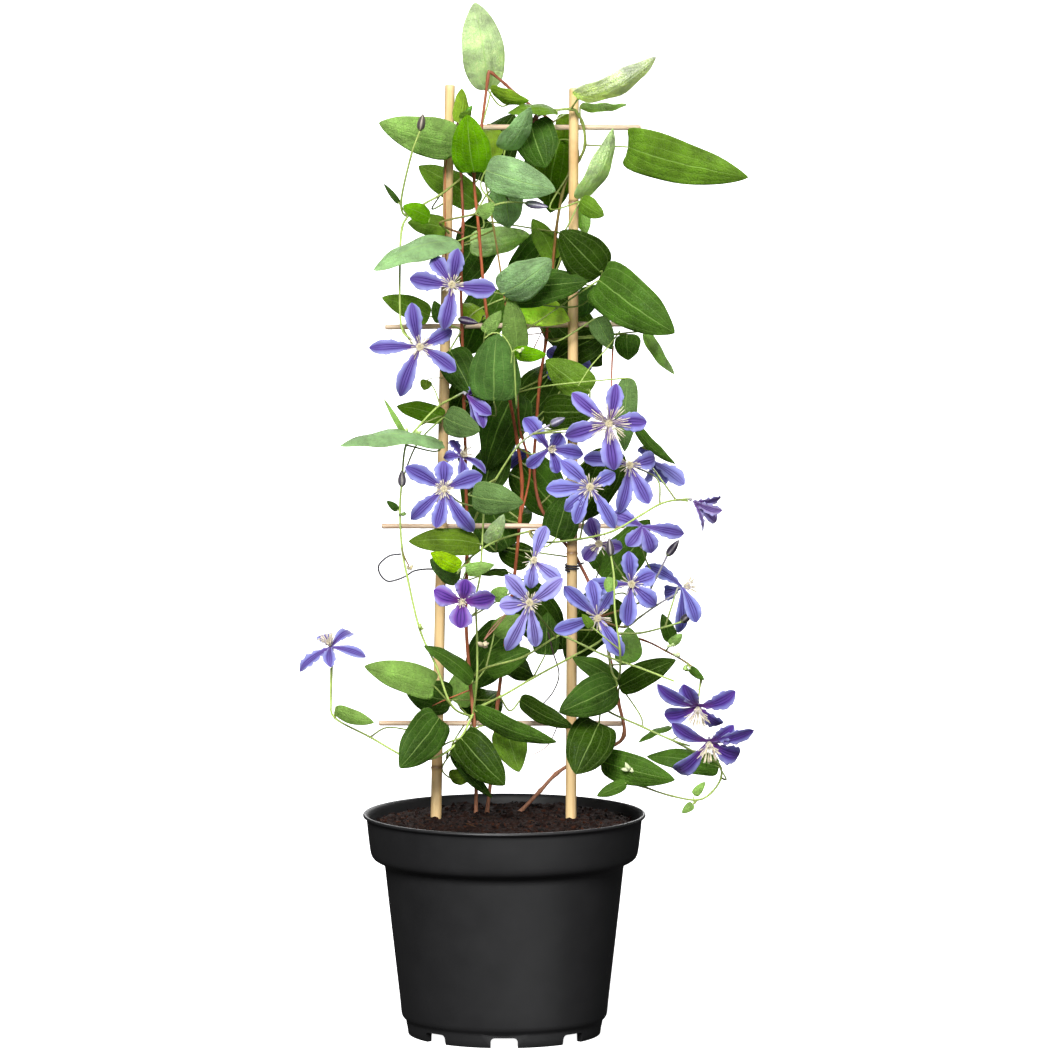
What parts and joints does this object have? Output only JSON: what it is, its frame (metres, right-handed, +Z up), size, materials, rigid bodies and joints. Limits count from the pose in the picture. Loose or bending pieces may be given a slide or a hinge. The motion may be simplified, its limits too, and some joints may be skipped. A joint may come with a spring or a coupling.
{
  "type": "potted clematis",
  "caption": "Climbing clematis with violet star flowers, tied to a bamboo ladder trellis in a round black nursery pot.",
  "frame": {"origin": "on the ground, under the middle of the whole plant's box; the pot's upright axis stands 14.7 mm to its left, at x = -0.0147 m", "axes": "+Z up; -Y towards the viewer, who sees the trellis face on; +X to the viewer's right"},
  "size_m": [0.3037, 0.2025, 0.6945],
  "materials": {
    "black_plastic": "satin",
    "peat_soil": "crumbly, matte",
    "bamboo": "satin",
    "split_bamboo": "matte",
    "tie_wire": "matte",
    "leaf_green": "satin, thin and veined",
    "tepal_violet": "matte, thin and silky",
    "stamen_cream": "matte"
  },
  "bodies": {
    "root": {"bar_1_top": "split_bamboo", "bar_2": "split_bamboo", "bar_3": "split_bamboo", "bar_4_foot": "split_bamboo", "cane_left": "bamboo", "cane_right": "bamboo", "flower_01": "tepal_violet", "flower_02": "tepal_violet", "flower_03": "tepal_violet", "flower_04": "tepal_violet", "flower_05": "tepal_violet", "flower_06": "tepal_violet", "flower_07": "tepal_violet", "flower_08": "tepal_violet", "flower_09": "tepal_violet", "flower_10": "tepal_violet", "flower_11": "tepal_violet", "flower_12": "tepal_violet", "flower_13": "tepal_violet", "flower_14": "tepal_violet", "flower_15": "tepal_violet", "flower_16": "tepal_violet", "flower_17": "tepal_violet", "flower_18": "tepal_violet", "flower_19": "tepal_violet", "flower_20": "tepal_violet", "flower_21": "tepal_violet", "flower_22": "tepal_violet", "flower_23": "tepal_violet", "flower_24": "tepal_violet", "pot": "black_plastic", "soil": "peat_soil", "stamens_01": "stamen_cream", "stamens_02": "stamen_cream", "stamens_04": "stamen_cream", "stamens_05": "stamen_cream", "stamens_06": "stamen_cream", "stamens_07": "stamen_cream", "stamens_08": "stamen_cream", "stamens_09": "stamen_cream", "stamens_10": "stamen_cream", "stamens_11": "stamen_cream", "stamens_12": "stamen_cream", "stamens_15": "stamen_cream", "stamens_16": "stamen_cream", "stamens_17": "stamen_cream", "stamens_18": "stamen_cream", "stamens_20": "stamen_cream", "stamens_21": "stamen_cream", "stamens_22": "stamen_cream", "stamens_23": "stamen_cream", "stem_left": "leaf_green", "stem_middle": "leaf_green", "stem_right": "leaf_green", "tie_left": "tie_wire", "tie_right": "tie_wire"}
  },
  "joints": []
}
